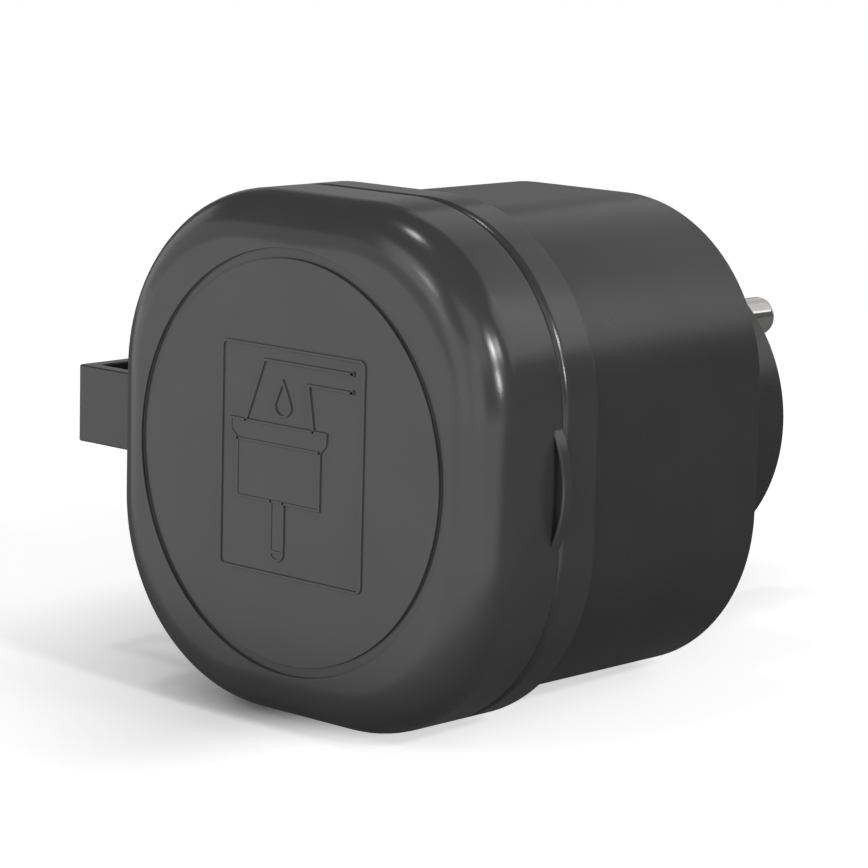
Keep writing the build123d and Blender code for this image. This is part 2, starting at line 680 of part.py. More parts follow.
with BuildPart() as housing_screws:
    with BuildSketch(level(HEAD_TOP)):
        with GridLocations(2 * SCREW_XY, 2 * SCREW_XY, 2, 2):
            Circle(HEAD_RADIUS)
    extrude(amount=-HEAD_HEIGHT)
    fillet(housing_screws.edges().group_by(Axis.Y)[0], HEAD_FILLET)
    with BuildSketch(level(HEAD_TOP - HEAD_HEIGHT)):
        with GridLocations(2 * SCREW_XY, 2 * SCREW_XY, 2, 2):
            Circle(SCREW_RADIUS)
    extrude(amount=-(SCREW_LENGTH - HEAD_HEIGHT))
    with BuildSketch(level(HEAD_TOP)):
        with GridLocations(2 * SCREW_XY, 2 * SCREW_XY, 2, 2):
            RegularPolygon(HEX_RADIUS, 6)
    extrude(amount=-HEX_DEPTH, mode=Mode.SUBTRACT)
save(housing_screws, "housing_screws")


# ---- Plug insert: the contact-face disc with sleeves round the pins ----
INSERT_THICKNESS = 3.0
SLEEVE_RADIUS = 3.9
SLEEVE_TOP = 11.0
EARTH_HOLE_X = -10.0
EARTH_HOLE_RADIUS = 2.6
EARTH_TUBE_BORE = 2.3
EARTH_TUBE_RADIUS = 3.2
EARTH_TUBE_LENGTH = 14.0
EARTH_TUBE_CAP = 0.8
EARTH_TUBE_SLOT = 9.0
PIN_NECK = 2.1
PIN_BORE = PIN_NECK + 0.05
PIN_RELIEF = PIN_RADIUS + AIR
RELIEF_DEPTH = 0.5

with BuildPart() as plug_insert:
    with BuildSketch(level(0)):
        Circle(NOSE_BORE - AIR)
        for end in (-1, 1):
            with Locations((0, end * NOSE_RADIUS)):
                Rectangle(GUIDE_WALL_WIDTH + 2 * AIR, 2 * (GUIDE_WALL_DEPTH + AIR), mode=Mode.SUBTRACT)
    extrude(amount=INSERT_THICKNESS)
    with BuildSketch(level(INSERT_THICKNESS)):
        with Locations((0, PIN_Z), (0, -PIN_Z)):
            Circle(SLEEVE_RADIUS)
    extrude(amount=SLEEVE_TOP - INSERT_THICKNESS)
    with BuildSketch(level(0)):
        with Locations((0, PIN_Z), (0, -PIN_Z)):
            Circle(PIN_BORE)
        with Locations((EARTH_HOLE_X, 0)):
            Circle(EARTH_HOLE_RADIUS)
    extrude(amount=SLEEVE_TOP, mode=Mode.SUBTRACT)
    with BuildSketch(level(0)):
        with Locations((0, PIN_Z), (0, -PIN_Z)):
            Circle(PIN_RELIEF)
    extrude(amount=RELIEF_DEPTH, mode=Mode.SUBTRACT)
save(plug_insert, "plug_insert")

with BuildPart() as earth_socket:
    with BuildSketch(level(INSERT_THICKNESS + AIR)):
        with Locations((EARTH_HOLE_X, 0)):
            Circle(EARTH_TUBE_RADIUS)
    extrude(amount=EARTH_TUBE_LENGTH + EARTH_TUBE_CAP)
    with BuildSketch(level(INSERT_THICKNESS + AIR)):
        with Locations((EARTH_HOLE_X, 0)):
            Circle(EARTH_TUBE_BORE)
    extrude(amount=EARTH_TUBE_LENGTH, mode=Mode.SUBTRACT)
    with BuildSketch(level(INSERT_THICKNESS + 4.0)):
        with Locations((EARTH_HOLE_X, 0)):
            Rectangle(SLOT_WIDTH, 3 * EARTH_TUBE_RADIUS)
    extrude(amount=EARTH_TUBE_SLOT, mode=Mode.SUBTRACT)
save(earth_socket, "earth_socket")


# ---- Plug pins ----
FLANGE_RADIUS = 3.4
PIN_STEP = 14.0
PIN_ROOT = 0.15
PIN_TAIL_TOP = BOARD_REAR - AIR
PIN_TAIL_RADIUS = 1.2
PIN_TIP_ROUND = 1.1


def plug_pin(z):
    """Round pin with a rounded tip, a neck in the sleeve, a shoulder behind it and a solder tail."""
    with BuildPart() as pin:
        with BuildSketch(Plane.XY.offset(z)):
            with BuildLine():
                Polyline(
                    (PIN_RADIUS - PIN_TIP_ROUND, PIN_LENGTH),
                    (0, PIN_LENGTH),
                    (0, -PIN_TAIL_TOP),
                    (PIN_TAIL_RADIUS, -PIN_TAIL_TOP),
                    (PIN_TAIL_RADIUS, -PIN_STEP),
                    (FLANGE_RADIUS, -PIN_STEP),
                    (FLANGE_RADIUS, -SLEEVE_TOP - AIR),
                    (PIN_NECK, -SLEEVE_TOP - AIR),
                    (PIN_NECK, PIN_ROOT - AIR / 2),
                    (PIN_RADIUS, PIN_ROOT),
                    (PIN_RADIUS, PIN_LENGTH - PIN_TIP_ROUND),
                )
                RadiusArc(
                    (PIN_RADIUS, PIN_LENGTH - PIN_TIP_ROUND),
                    (PIN_RADIUS - PIN_TIP_ROUND, PIN_LENGTH),
                    -PIN_TIP_ROUND,
                )
            make_face()
        revolve(axis=Axis((0, 0, z), (0, 1, 0)))
    return pin


upper_pin = plug_pin(PIN_Z)
save(upper_pin, "upper_pin")
lower_pin = plug_pin(-PIN_Z)
save(lower_pin, "lower_pin")


# ---- Button, its seal and the side board with the switch and status light ----
BUTTON_FACE_X = -SIDE_WALL_X - BUTTON_PROUD
BUTTON_STEP_X = -25.2
BUTTON_BACK_X = -24.4
SWITCH_FACE_X = -23.7
SEAL_X = -25.8
PLUNGER_X = -24.3
SIDE_BOARD_THICKNESS = 1.0
SIDE_BOARD_LOW = 24.5
SIDE_BOARD_HIGH = 43.6
SIDE_BOARD_WIDTH = 13.0
BUTTON_FILLET = 0.5
MARK_OUTER = 2.1
MARK_INNER = 1.7
MARK_GAP = (1.6, 1.4)
MARK_BAR = (1.8, 0.4)
MARK_HEIGHT = 0.15
PLUNGER_LENGTH = 1.2
SWITCH_WIDTH = 6.0
LED_SIZE = (1.6, 1.0)
LED_HEIGHT = 0.6
LIGHT_PIPE_END = SIDE_BOARD_X - 0.9
LIGHT_COLLAR = LIGHT_RADIUS + 0.6
LIGHT_COLLAR_LENGTH = 0.8


def side(x):
    """Plane across X. Local X is Y and local Y is Z."""
    return Plane.YZ.offset(x)


with BuildPart() as button:
    with BuildSketch(side(BUTTON_FACE_X)):
        with Locations((-BUTTON_H, 0)):
            Circle(BUTTON_RADIUS)
    extrude(amount=BUTTON_STEP_X - BUTTON_FACE_X)
    fillet(button.edges().group_by(Axis.X)[0], BUTTON_FILLET)
    with BuildSketch(side(BUTTON_STEP_X)):
        with Locations((-BUTTON_H, 0)):
            Circle(BUTTON_FLANGE)
    extrude(amount=BUTTON_BACK_X - BUTTON_STEP_X)
    # Raised power mark: an open ring with a bar
    with BuildSketch(side(BUTTON_FACE_X)):
        with Locations((-BUTTON_H, 0)):
            Circle(MARK_OUTER)
            Circle(MARK_INNER, mode=Mode.SUBTRACT)
            with Locations((-MARK_INNER, 0)):
                Rectangle(*MARK_GAP, mode=Mode.SUBTRACT)
                Rectangle(*MARK_BAR)
    extrude(amount=-MARK_HEIGHT)
save(button, "button")

with BuildPart() as button_seal:
    with BuildSketch(side(SEAL_X)):
        with Locations((-BUTTON_H, 0)):
            Circle(BUTTON_FLANGE)
            Circle(BUTTON_RADIUS + 0.3, mode=Mode.SUBTRACT)
    extrude(amount=BUTTON_STEP_X - SEAL_X - AIR)
save(button_seal, "button_seal")

with BuildPart() as switch_plunger:
    with BuildSketch(side(PLUNGER_X)):
        with Locations((-BUTTON_H, 0)):
            Circle(SWITCH_RADIUS)
    extrude(amount=PLUNGER_LENGTH)
save(switch_plunger, "switch_plunger")

with BuildPart() as push_switch:
    with BuildSketch(side(SWITCH_FACE_X)):
        with Locations((-BUTTON_H, 0)):
            Rectangle(SWITCH_WIDTH, SWITCH_WIDTH)
            Circle(SWITCH_RADIUS + AIR, mode=Mode.SUBTRACT)
    extrude(amount=SIDE_BOARD_X - FACE_GAP - SWITCH_FACE_X)
save(push_switch, "push_switch")

with BuildPart() as side_board:
    with BuildSketch(side(SIDE_BOARD_X)):
        with Locations((-(SIDE_BOARD_LOW + SIDE_BOARD_HIGH) / 2, 0)):
            Rectangle(SIDE_BOARD_HIGH - SIDE_BOARD_LOW, SIDE_BOARD_WIDTH)
    extrude(amount=SIDE_BOARD_THICKNESS)
save(side_board, "side_board")

with BuildPart() as status_led:
    with BuildSketch(side(SIDE_BOARD_X - FACE_GAP)):
        with Locations((-LIGHT_H, 0)):
            Rectangle(*LED_SIZE)
    extrude(amount=-LED_HEIGHT)
save(status_led, "status_led")

with BuildPart() as light_pipe:
    with BuildSketch(side(-SIDE_WALL_X)):
        with Locations((-LIGHT_H, 0)):
            Circle(LIGHT_RADIUS)
    extrude(amount=SIDE_WALL_X + LIGHT_PIPE_END)
    with BuildSketch(side(-SIDE_WALL_X + WALL + AIR)):
        with Locations((-LIGHT_H, 0)):
            Circle(LIGHT_COLLAR)
    extrude(amount=LIGHT_COLLAR_LENGTH)
save(light_pipe, "light_pipe")


# ---- Main board and the parts on it. AT gives X and Z, SIZE gives widths along X and Z ----
STRIP_SLOT = STRIP_WALL + 0.6
BOSS_CLEARANCE = BOSS_RADIUS + 0.2

with BuildPart() as main_board:
    with BuildSketch(level(BOARD_REAR)):
        RectangleRounded(BOARD_WIDTH, BOARD_WIDTH, BOARD_CORNER)
        with GridLocations(2 * SCREW_XY, 2 * SCREW_XY, 2, 2):
            Circle(BOSS_CLEARANCE, mode=Mode.SUBTRACT)
        with Locations((STRIP_X, 0), (-STRIP_X, 0)):
            Rectangle(STRIP_SLOT, CLIP_SLOT, mode=Mode.SUBTRACT)
    extrude(amount=BOARD_THICKNESS)
save(main_board, "main_board")

RELAY_AT = (13.5, 0)
RELAY_SIZE = (10.2, 18.4)
RELAY_HEIGHT = 15.3
CASE_FILLET = 0.5

with BuildPart() as relay:
    with BuildSketch(level(PART_SEAT)):
        with Locations(RELAY_AT):
            Rectangle(*RELAY_SIZE)
    extrude(amount=RELAY_HEIGHT)
    fillet(relay.edges().group_by(Axis.Y)[0], CASE_FILLET)
save(relay, "relay")

TRANSFORMER_X = -13.9
CORE_SIZE = (10.0, 13.0)
CORE_HEIGHT = 12.0
WINDOW_Z = 4.4
WINDOW_SIZE = (7.0, 3.4)
WINDING_SIZE = (6.7, 3.1)
WINDING_LIFT = 1.0

with BuildPart() as transformer_core:
    with BuildSketch(level(PART_SEAT)):
        with Locations((TRANSFORMER_X, 0)):
            Rectangle(*CORE_SIZE)
        with Locations((TRANSFORMER_X, WINDOW_Z), (TRANSFORMER_X, -WINDOW_Z)):
            Rectangle(*WINDOW_SIZE, mode=Mode.SUBTRACT)
    extrude(amount=CORE_HEIGHT)
save(transformer_core, "transformer_core")

with BuildPart() as transformer_winding:
    with BuildSketch(level(PART_SEAT + WINDING_LIFT)):
        with Locations((TRANSFORMER_X, WINDOW_Z), (TRANSFORMER_X, -WINDOW_Z)):
            Rectangle(*WINDING_SIZE)
    extrude(amount=CORE_HEIGHT - 2 * WINDING_LIFT)
save(transformer_winding, "transformer_winding")

FILTER_AT = (0, -19.4)
FILTER_SIZE = (13.0, 6.0)
FILTER_HEIGHT = 11.0

with BuildPart() as mains_capacitor:
    with BuildSketch(level(PART_SEAT)):
        with Locations(FILTER_AT):
            Rectangle(*FILTER_SIZE)
    extrude(amount=FILTER_HEIGHT)
    fillet(mains_capacitor.edges().group_by(Axis.Y)[0], CASE_FILLET)
save(mains_capacitor, "mains_capacitor")

VARISTOR_X = 14.0
VARISTOR_LOW_Z = 10.2
VARISTOR_THICKNESS = 3.4
VARISTOR_RADIUS = 3.9
VARISTOR_LIFT = 5.6
VARISTOR_FILLET = 0.8
LEAD_RADIUS = 0.4
LEAD_LENGTH = 3.5
LEAD_PITCH = 3.2

with BuildPart() as varistor:
    with BuildSketch(Plane.XY.offset(VARISTOR_LOW_Z)):
        with Locations((VARISTOR_X, -(PART_SEAT + VARISTOR_LIFT))):
            Circle(VARISTOR_RADIUS)
    extrude(amount=VARISTOR_THICKNESS)
    fillet(varistor.edges().filter_by(GeomType.CIRCLE), VARISTOR_FILLET)
    with BuildSketch(level(PART_SEAT)):
        with Locations((VARISTOR_X, VARISTOR_LOW_Z + VARISTOR_THICKNESS / 2)):
            with GridLocations(LEAD_PITCH, 0, 2, 1):
                Circle(LEAD_RADIUS)
    extrude(amount=LEAD_LENGTH)
save(varistor, "varistor")

RESISTOR_X = -18.4
RESISTOR_Z = 10.6
RESISTOR_LIFT = 2.6
RESISTOR_RADIUS = 1.9
RESISTOR_LENGTH = 8.0
RESISTOR_FILLET = 0.6

with BuildPart() as fuse_resistor:
    with BuildSketch(side(RESISTOR_X)):
        with Locations((-(PART_SEAT + RESISTOR_LIFT), RESISTOR_Z)):
            Circle(RESISTOR_RADIUS)
    extrude(amount=RESISTOR_LENGTH)
    fillet(fuse_resistor.edges().filter_by(GeomType.CIRCLE), RESISTOR_FILLET)
save(fuse_resistor, "fuse_resistor")

CHOKE_AT = (-12.3, -10.9)
CHOKE_RADIUS = 3.0
CHOKE_CORE = 2.2
CHOKE_HEIGHT = 8.0
CHOKE_CHEEK = 1.0

with BuildPart() as choke:
    with BuildSketch(level(PART_SEAT)):
        with Locations(CHOKE_AT):
            Circle(CHOKE_RADIUS)
    extrude(amount=CHOKE_HEIGHT)
    with BuildSketch(level(PART_SEAT + CHOKE_CHEEK)):
        with Locations(CHOKE_AT):
            Circle(CHOKE_RADIUS + AIR)
            Circle(CHOKE_CORE, mode=Mode.SUBTRACT)
    extrude(amount=CHOKE_HEIGHT - 2 * CHOKE_CHEEK, mode=Mode.SUBTRACT)
save(choke, "choke")

BULK_X = 10.0
BULK_PITCH = 8.6
BULK_RADIUS = 4.0
BULK_LENGTH = 11.5
BULK_FILLET = 0.4

with BuildPart() as bulk_capacitors:
    with BuildSketch(level(BOARD_REAR - AIR)):
        with Locations((BULK_X, 0)):
            with GridLocations(0, BULK_PITCH, 1, 2):
                Circle(BULK_RADIUS)
    extrude(amount=-BULK_LENGTH)
    fillet(bulk_capacitors.edges().filter_by(GeomType.CIRCLE), BULK_FILLET)
save(bulk_capacitors, "bulk_capacitors")

SHUNT_LEFT = 10.5
SHUNT_RIGHT = 15.5
SHUNT_Z = -12.0
SHUNT_HALF_WIDTH = 1.2
SHUNT_HEIGHT = 4.0
SHUNT_WALL = 0.6

with BuildPart() as current_shunt:
    with BuildSketch(Plane.XY.offset(SHUNT_Z)):
        with BuildLine():
            Polyline(
                (SHUNT_LEFT, -PART_SEAT - SHUNT_WALL / 2),
                (SHUNT_LEFT, -PART_SEAT - SHUNT_HEIGHT),
                (SHUNT_RIGHT, -PART_SEAT - SHUNT_HEIGHT),
                (SHUNT_RIGHT, -PART_SEAT - SHUNT_WALL / 2),
            )
        trace(line_width=SHUNT_WALL)
        with Locations(((SHUNT_LEFT + SHUNT_RIGHT) / 2, -PART_SEAT)):
            Rectangle(2 * SHUNT_RIGHT, SHUNT_HEIGHT, align=(Align.CENTER, Align.MIN), mode=Mode.SUBTRACT)
    extrude(amount=SHUNT_HALF_WIDTH, both=True)
save(current_shunt, "current_shunt")

BUSBAR_X = 2.6
BUSBAR_SIZE = (10.4, 2.6)
BUSBAR_CORNER = 0.6
BUSBAR_THICKNESS = 0.8


def busbar(z):
    """Flat bar on the board, from a socket contact towards the relay side."""
    with BuildPart() as bar:
        with BuildSketch(level(PART_SEAT)):
            with Locations((BUSBAR_X, z)):
                RectangleRounded(*BUSBAR_SIZE, BUSBAR_CORNER)
            with Locations((0, z)):
                Circle(TAIL_RADIUS + AIR, mode=Mode.SUBTRACT)
        extrude(amount=BUSBAR_THICKNESS)
    return bar


live_busbar = busbar(PIN_Z)
save(live_busbar, "live_busbar")
neutral_busbar = busbar(-PIN_Z)
save(neutral_busbar, "neutral_busbar")


# ---- Radio module standing on the main board ----
RADIO_Z = 18.4
RADIO_LOW = PART_SEAT
RADIO_HEIGHT = 18.5
RADIO_WIDTH = 18.0
RADIO_THICKNESS = 0.8
RADIO_FACE = RADIO_Z + RADIO_THICKNESS
SHIELD_SIZE = (13.0, 11.0)
SHIELD_CORNER = 0.8
SHIELD_HEIGHT = 2.2
SHIELD_H = RADIO_LOW + 7.5
ANTENNA_LOW = RADIO_LOW + 14.0
ANTENNA_HIGH = RADIO_LOW + 17.5
ANTENNA_STEP = 3.0
ANTENNA_TURNS = 5
ANTENNA_TRACK = 0.8
ANTENNA_THICKNESS = 0.15

with BuildPart() as radio_board:
    with BuildSketch(Plane.XY.offset(RADIO_Z)):
        with Locations((0, -(RADIO_LOW + RADIO_HEIGHT / 2))):
            Rectangle(RADIO_WIDTH, RADIO_HEIGHT)
    extrude(amount=RADIO_THICKNESS)
save(radio_board, "radio_board")

with BuildPart() as radio_shield:
    with BuildSketch(Plane.XY.offset(RADIO_FACE + FACE_GAP)):
        with Locations((0, -SHIELD_H)):
            RectangleRounded(*SHIELD_SIZE, SHIELD_CORNER)
    extrude(amount=SHIELD_HEIGHT)
save(radio_shield, "radio_shield")

# Printed antenna: a track that steps up and down across the board's end
antenna_route = []
for turn in range(ANTENNA_TURNS + 1):
    step_x = (turn - ANTENNA_TURNS / 2) * ANTENNA_STEP
    ends = [-ANTENNA_LOW, -ANTENNA_HIGH]
    if turn % 2:
        ends.reverse()
    antenna_route += [(step_x, end) for end in ends]

with BuildPart() as antenna:
    with BuildSketch(Plane.XY.offset(RADIO_FACE)):
        with BuildLine():
            Polyline(*antenna_route)
        trace(line_width=ANTENNA_TRACK)
    extrude(amount=ANTENNA_THICKNESS)
save(antenna, "antenna")
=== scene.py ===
"""Looks of the outdoor smart plug: meshes, materials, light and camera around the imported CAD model."""
import json
import math

import bmesh
import bpy
from mathutils import Matrix, Vector


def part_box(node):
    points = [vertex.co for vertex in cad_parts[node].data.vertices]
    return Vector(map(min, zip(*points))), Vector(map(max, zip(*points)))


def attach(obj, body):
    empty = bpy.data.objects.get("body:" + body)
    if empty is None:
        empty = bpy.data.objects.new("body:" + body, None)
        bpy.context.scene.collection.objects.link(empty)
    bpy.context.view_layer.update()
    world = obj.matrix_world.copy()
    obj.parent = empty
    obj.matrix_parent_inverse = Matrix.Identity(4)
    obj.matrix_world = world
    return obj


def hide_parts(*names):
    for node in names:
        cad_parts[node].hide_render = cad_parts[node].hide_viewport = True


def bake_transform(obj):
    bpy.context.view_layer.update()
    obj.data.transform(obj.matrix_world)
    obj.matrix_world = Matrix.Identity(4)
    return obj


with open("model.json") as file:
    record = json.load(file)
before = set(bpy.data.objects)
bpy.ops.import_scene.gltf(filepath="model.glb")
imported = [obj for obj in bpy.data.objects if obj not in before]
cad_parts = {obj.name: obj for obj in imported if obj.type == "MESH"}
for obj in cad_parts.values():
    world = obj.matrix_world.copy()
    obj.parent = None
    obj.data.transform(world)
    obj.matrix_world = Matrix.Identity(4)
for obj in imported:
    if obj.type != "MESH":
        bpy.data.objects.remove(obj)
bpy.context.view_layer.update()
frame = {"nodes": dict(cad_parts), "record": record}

MM = 0.001
NODES = frame["nodes"]

# ---------------------------------------------------------------- frame sizes (mm)


def low(node):
    """Lowest corner of a CAD node, in millimetres."""
    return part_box(node)[0] / MM


def high(node):
    """Highest corner of a CAD node, in millimetres."""
    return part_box(node)[1] / MM


# ---------------------------------------------------------------- materials

RAMP_LOW = 0.3
RAMP_HIGH = 0.7
EDGE_RADIUS_MM = 0.25
EDGE_SAMPLES = 4
EDGE_START = 0.995
EDGE_FULL = 0.85
FLOW_MM = 9.0
GLOSS_MM = 2.5
WEAR_AND_HIGHLIGHT_MM = 1.3
SINK_MM = 14.0
SINK_DEPTH_MM = 0.02
GRAIN_MM = 0.14
GRAIN_DEPTH_MM = 0.006
TONE_SPREAD = 0.06
# Edge lightening: partly wear, partly a painted highlight
EDGE_WEAR_AND_HIGHLIGHT = 0.35
WEAR_AND_HIGHLIGHT_SPREAD = (0.2, 1.0)
GLOSS_SPREAD = (0.92, 1.10)
PLATING_SPREAD = (0.8, 1.3)
EDGE_POLISH = 0.75
PLATING_MM = 1.6
TARNISH = 0.1
DRAWN_MM = 0.15
DRAWN_DEPTH_MM = 0.0015


def link(tree, source, output, target, socket):
    """Connect one named output to one named input."""
    tree.links.new(source.outputs[output], target.inputs[socket])


def add_node(tree, kind, **values):
    """New shader node with its inputs set by name."""
    node = tree.nodes.new(kind)
    for name, value in values.items():
        node.inputs[name.replace("_", " ")].default_value = value
    return node


def shades(tree, factor, dark, light):
    """Colour ramp between two greys or colours, driven by a texture's output."""
    ramp = tree.nodes.new("ShaderNodeValToRGB")
    ramp.color_ramp.elements[0].position = RAMP_LOW
    ramp.color_ramp.elements[1].position = RAMP_HIGH
    ramp.color_ramp.elements[0].color = (*dark, 1)
    ramp.color_ramp.elements[1].color = (*light, 1)
    tree.links.new(factor, ramp.inputs["Fac"])
    return ramp.outputs["Color"]


def span(tree, factor, lowest, highest):
    """Map a 0..1 texture output to a range of values."""
    node = tree.nodes.new("ShaderNodeMapRange")
    node.inputs["To Min"].default_value = lowest
    node.inputs["To Max"].default_value = highest
    tree.links.new(factor, node.inputs["Value"])
    return node.outputs["Result"]


def noise(tree, place, size_mm, detail=2.0, rough=0.5):
    """Noise texture with blobs about this many millimetres across."""
    scale = 1 / (size_mm * MM)
    node = add_node(tree, "ShaderNodeTexNoise", Scale=scale, Detail=detail, Roughness=rough)
    tree.links.new(place, node.inputs["Vector"])
    return node.outputs["Fac"]


def material(name):
    """Empty node material with a principled shader and object coordinates."""
    made = bpy.data.materials.new(name)
    made.use_nodes = True
    tree = made.node_tree
    shader = tree.nodes["Principled BSDF"]
    place = tree.nodes.new("ShaderNodeTexCoord").outputs["Object"]
    return made, tree, shader, place


def scaled(colour, factor):
    """Colour made darker or lighter by a factor."""
    return tuple(min(1.0, c * factor) for c in colour)


def edge_wear_and_highlight_mask(tree, breakup):
    """0 on flat areas and up to 1 on edges, broken up by a noise; it marks edges polished by handling
    and also carries a painted highlight along them.
    """
    rounded = add_node(tree, "ShaderNodeBevel", Radius=EDGE_RADIUS_MM * MM)
    rounded.samples = EDGE_SAMPLES
    flat = tree.nodes.new("ShaderNodeNewGeometry")
    compare = tree.nodes.new("ShaderNodeVectorMath")
    compare.operation = "DOT_PRODUCT"
    link(tree, rounded, "Normal", compare, 0)
    link(tree, flat, "Normal", compare, 1)
    turned = add_node(tree, "ShaderNodeMapRange", From_Min=EDGE_START, From_Max=EDGE_FULL)
    link(tree, compare, "Value", turned, "Value")
    worn_and_lit = tree.nodes.new("ShaderNodeMath")
    worn_and_lit.operation = "MULTIPLY"
    link(tree, turned, "Result", worn_and_lit, 0)
    tree.links.new(breakup, worn_and_lit.inputs[1])
    return worn_and_lit.outputs["Value"]


def mixed(tree, kind, factor, first, second):
    """Mix two outputs or values of one kind, RGBA or FLOAT, by a factor."""
    node = tree.nodes.new("ShaderNodeMix")
    node.data_type = kind
    sockets = {"FLOAT": (2, 3, 0), "RGBA": (6, 7, 2)}[kind]
    tree.links.new(factor, node.inputs[0])
    for value, socket in ((first, sockets[0]), (second, sockets[1])):
        if hasattr(value, "node"):
            tree.links.new(value, node.inputs[socket])
        else:
            node.inputs[socket].default_value = value
    return node.outputs[sockets[2]]


def bumped(tree, height, depth_mm, below=None):
    """Bump of a given depth from a texture's output, laid over another bump."""
    bump = add_node(tree, "ShaderNodeBump", Strength=1.0, Distance=depth_mm * MM)
    tree.links.new(height, bump.inputs["Height"])
    if below:
        link(tree, below, "Normal", bump, "Normal")
    return bump


def plastic(name, colour, rough):
    """Moulded plastic: fine spark-eroded grain, flow mottling, uneven gloss, and edges lightened partly
    by wear and partly by a painted highlight.
    """
    made, tree, shader, place = material(name)
    flow = noise(tree, place, FLOW_MM, detail=4.0)
    ground = shades(tree, flow, scaled(colour, 1 - TONE_SPREAD), scaled(colour, 1 + TONE_SPREAD))
    gloss = noise(tree, place, GLOSS_MM, detail=6.0, rough=0.6)
    edge = edge_wear_and_highlight_mask(tree, span(tree, noise(tree, place, WEAR_AND_HIGHLIGHT_MM, detail=3.0), *WEAR_AND_HIGHLIGHT_SPREAD))
    # Lighter edge colour: wear on the edges plus a painted highlight along rims such as the collar's
    # rear edge and the tops of the symbol's ridges
    worn_and_lit = (*scaled(colour, 1 + EDGE_WEAR_AND_HIGHLIGHT), 1)
    tree.links.new(mixed(tree, "RGBA", edge, ground, worn_and_lit), shader.inputs["Base Color"])
    satin = span(tree, gloss, *(rough * k for k in GLOSS_SPREAD))
    tree.links.new(mixed(tree, "FLOAT", edge, satin, rough * EDGE_POLISH), shader.inputs["Roughness"])
    skin = bumped(tree, noise(tree, place, GRAIN_MM, detail=3.0), GRAIN_DEPTH_MM)
    sink = bumped(tree, noise(tree, place, SINK_MM, detail=1.0), SINK_DEPTH_MM, skin)
    link(tree, sink, "Normal", shader, "Normal")
    return made


def metal(name, colour, rough):
    """Plated or drawn metal: fine bumps and patches of duller plating."""
    made, tree, shader, place = material(name)
    patches = noise(tree, place, PLATING_MM, detail=5.0)
    plating = shades(tree, patches, scaled(colour, 1 - TARNISH), colour)
    tree.links.new(plating, shader.inputs["Base Color"])
    sheen = span(tree, patches, *(rough * k for k in PLATING_SPREAD))
    tree.links.new(sheen, shader.inputs["Roughness"])
    shader.inputs["Metallic"].default_value = 1.0
    skin = bumped(tree, noise(tree, place, DRAWN_MM, detail=4.0), DRAWN_DEPTH_MM)
    link(tree, skin, "Normal", shader, "Normal")
    return made


MATERIALS = {
    "soft_black": plastic("soft_black", (0.042, 0.042, 0.042), 0.20),
    "case_black": plastic("case_black", (0.033, 0.033, 0.033), 0.28),
    "liner_grey": plastic("liner_grey", (0.10, 0.10, 0.105), 0.45),
    "insert_black": plastic("insert_black", (0.035, 0.035, 0.036), 0.40),
    "carrier_white": plastic("carrier_white", (0.70, 0.69, 0.66), 0.45),
    "shutter_grey": plastic("shutter_grey", (0.22, 0.22, 0.23), 0.42),
    "silicone_grey": plastic("silicone_grey", (0.16, 0.16, 0.165), 0.6),
    "pin_nickel": metal("pin_nickel", (0.78, 0.77, 0.75), 0.07),
    "contact_brass": metal("contact_brass", (0.76, 0.60, 0.30), 0.22),
    "strip_steel": metal("strip_steel", (0.66, 0.65, 0.63), 0.28),
    "screw_steel": metal("screw_steel", (0.60, 0.60, 0.60), 0.25),
    "board_green": plastic("board_green", (0.02, 0.10, 0.045), 0.30),
    "relay_black": plastic("relay_black", (0.03, 0.03, 0.03), 0.35),
    "ferrite": plastic("ferrite", (0.05, 0.05, 0.055), 0.55),
    "winding_tape": plastic("winding_tape", (0.55, 0.42, 0.08), 0.35),
    "capacitor_yellow": plastic("capacitor_yellow", (0.60, 0.42, 0.06), 0.35),
    "varistor_blue": plastic("varistor_blue", (0.03, 0.10, 0.35), 0.3),
    "resistor_green": plastic("resistor_green", (0.10, 0.24, 0.15), 0.35),
    "capacitor_sleeve": plastic("capacitor_sleeve", (0.03, 0.03, 0.05), 0.3),
    "lamp_clear": plastic("lamp_clear", (0.75, 0.77, 0.78), 0.12),
    "lamp_white": plastic("lamp_white", (0.85, 0.80, 0.55), 0.3),
    "copper": metal("copper", (0.80, 0.42, 0.24), 0.25),
    "shield_tin": metal("shield_tin", (0.68, 0.68, 0.66), 0.3),
}

SLOT_OF = {part["node"]: part["material_slot"] for part in frame["record"]["subparts"]}
for node_name, node_object in NODES.items():
    node_object.data.materials.clear()
    node_object.data.materials.append(MATERIALS[SLOT_OF[node_name]])


# ---------------------------------------------------------------- mesh helpers
# Millimetres; a height is measured forwards from the contact face of the plug.

SIDE_STEPS = 6
CORNER_STEPS = 28
ARC_STEPS = 14
SHARP = math.radians(32)


def at(x, height, z):
    """Point in the frame from X, height and Z."""
    return Vector((x, -height, z))


def rounded_square(half, corner, height, inset=0.0):
    """Ring round a square with rounded corners, drawn in from its outline by an inset."""
    flat = half - corner
    round_radius = corner - inset
    quarter = [(half - inset, flat * k / SIDE_STEPS) for k in range(-SIDE_STEPS, SIDE_STEPS)]
    for k in range(CORNER_STEPS):
        a = math.pi / 2 * k / CORNER_STEPS
        quarter.append((flat + round_radius * math.cos(a), flat + round_radius * math.sin(a)))
    ring = []
    for turn in ((1, 0), (0, 1), (-1, 0), (0, -1)):
        ring += [at(x * turn[0] - z * turn[1], height, x * turn[1] + z * turn[0]) for x, z in quarter]
    return ring


def circle_like(ring, radius, height):
    """Circle whose points stand at the same angles as another ring's."""
    spokes = [Vector((p.x, 0, p.z)).normalized() for p in ring]
    return [at(radius * d.x, height, radius * d.z) for d in spokes]


